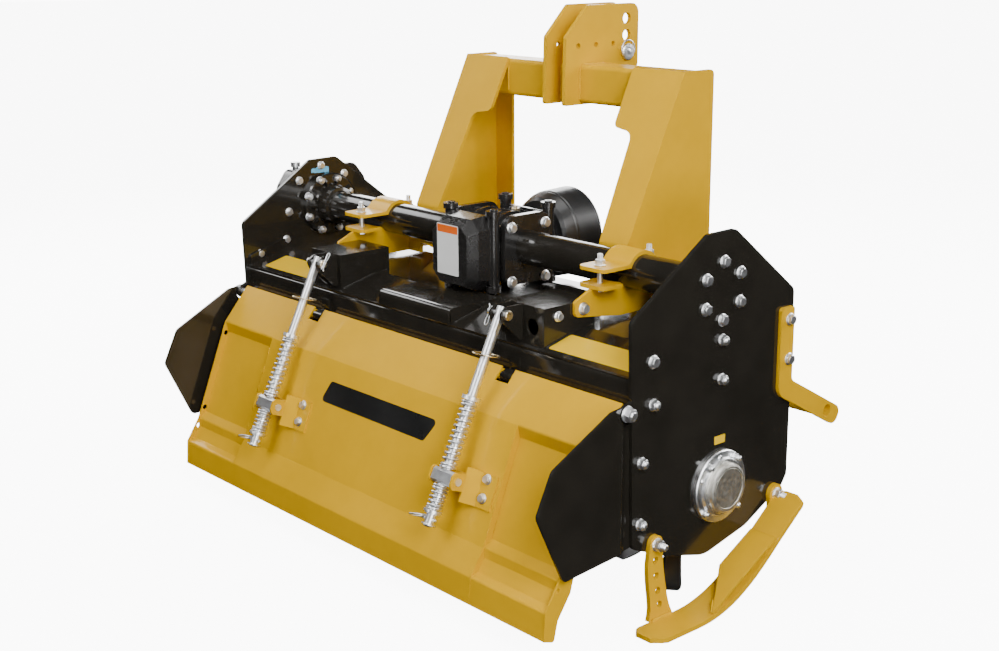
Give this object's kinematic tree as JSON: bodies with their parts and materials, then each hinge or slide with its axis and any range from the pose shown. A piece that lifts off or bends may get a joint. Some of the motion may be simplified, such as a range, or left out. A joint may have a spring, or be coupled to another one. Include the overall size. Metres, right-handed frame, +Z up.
{
  "type": "rotary tiller",
  "caption": "Tractor-mounted rotary tiller with a bladed rotor under a hood, a sprung swinging tailgate, a mast with a three-point hitch, skids, and a side gear drive.",
  "frame": {"origin": "bottom centre of the whole machine, on the floor under the skid soles", "axes": "+X to the machine's right, +Y forward to the tractor, +Z up"},
  "size_m": [1.49, 0.8953, 1.15],
  "materials": {
    "yellow_paint": "glossy orange-yellow enamel",
    "black_paint": "glossy black enamel",
    "zinc": "bright zinc plate",
    "black_plastic": "satin moulded plastic"
  },
  "bodies": {
    "frame": {"left_side_plate": "black_paint", "right_side_plate": "black_paint", "rear_beam": "black_paint", "front_beam": "black_paint", "deck": "black_paint", "gearbox_seat": "black_paint", "drive_tube": "black_paint", "support_tube": "black_paint", "gearbox_housing": "black_paint", "pto_guard": "black_plastic", "left_mast_upright": "yellow_paint", "right_mast_upright": "yellow_paint", "mast_crossbeam": "yellow_paint", "top_link_bracket": "yellow_paint", "top_link_pin": "zinc", "left_clamp_saddle": "yellow_paint", "right_clamp_saddle": "yellow_paint", "left_clamp_bracket": "yellow_paint", "right_clamp_bracket": "yellow_paint", "left_hitch": "yellow_paint", "right_hitch": "yellow_paint", "left_hitch_pin": "zinc", "right_hitch_pin": "zinc", "left_hanger": "black_paint", "right_hanger": "black_paint", "left_rod_pin": "zinc", "right_rod_pin": "zinc", "hinge_rod": "zinc", "hinge_blocks": "black_paint", "bearing_housing": "zinc", "bearing_cap": "zinc", "gear_case": "black_paint", "breather": "zinc", "left_skid": "yellow_paint", "right_skid": "yellow_paint", "left_side_shield": "black_paint", "right_side_shield": "black_paint", "left_guard_arm": "yellow_paint", "right_guard_arm": "yellow_paint", "front_guard_bar": "yellow_paint"},
    "rotor": {"rotor_tube": "black_paint", "rotor_blades": "black_paint"},
    "input": {"input_shaft": "zinc"},
    "tailgate": {"tailgate_panel": "yellow_paint", "left_trunnion_bracket": "yellow_paint", "right_trunnion_bracket": "yellow_paint"},
    "left_rod_set": {"left_rod": "zinc", "left_stops": "zinc", "left_spring": "zinc", "left_lower_spring": "zinc"},
    "right_rod_set": {"right_rod": "zinc", "right_stops": "zinc", "right_spring": "zinc", "right_lower_spring": "zinc"},
    "left_trunnion_block": {"left_trunnion": "zinc"},
    "right_trunnion_block": {"right_trunnion": "zinc"}
  },
  "joints": [
    {"name": "rotor_spin", "type": "hinge", "parent": "frame", "child": "rotor", "pos_m": [0.01, 0.0465, 0.238], "axis": [-1, 0, 0], "continuous": true},
    {"name": "input_spin", "type": "hinge", "parent": "frame", "child": "input", "pos_m": [0.01, 0.2065, 0.633], "axis": [0, 1, 0], "continuous": true},
    {"name": "tailgate_hinge", "type": "hinge", "parent": "frame", "child": "tailgate", "pos_m": [0.01, -0.2205, 0.447], "axis": [-1, 0, 0], "range_deg": [0, 24]},
    {"name": "left_rod_swing", "type": "hinge", "parent": "frame", "child": "left_rod_set", "pos_m": [-0.308, -0.2345, 0.578], "axis": [-1, 0, 0], "range_deg": [-0.5, 17], "deforming": ["left_spring", "left_lower_spring"]},
    {"name": "left_trunnion_turn", "type": "hinge", "parent": "tailgate", "child": "left_trunnion_block", "pos_m": [-0.308, -0.38361, 0.27133], "axis": [-1, 0, 0], "range_deg": [-8, 0.5]},
    {"name": "right_rod_swing", "type": "hinge", "parent": "frame", "child": "right_rod_set", "pos_m": [0.328, -0.2345, 0.578], "axis": [-1, 0, 0], "range_deg": [-0.5, 17], "deforming": ["right_spring", "right_lower_spring"]},
    {"name": "right_trunnion_turn", "type": "hinge", "parent": "tailgate", "child": "right_trunnion_block", "pos_m": [0.328, -0.38361, 0.27133], "axis": [-1, 0, 0], "range_deg": [-8, 0.5]}
  ],
  "couplings": [
    {"joint": "input_spin", "follows": "rotor_spin", "ratio": 2.5},
    {"joint": "left_rod_swing", "follows": "tailgate_hinge", "ratio": 0.6863},
    {"joint": "left_trunnion_turn", "follows": "tailgate_hinge", "ratio": -0.3137},
    {"joint": "right_rod_swing", "follows": "tailgate_hinge", "ratio": 0.6863},
    {"joint": "right_trunnion_turn", "follows": "tailgate_hinge", "ratio": -0.3137}
  ]
}
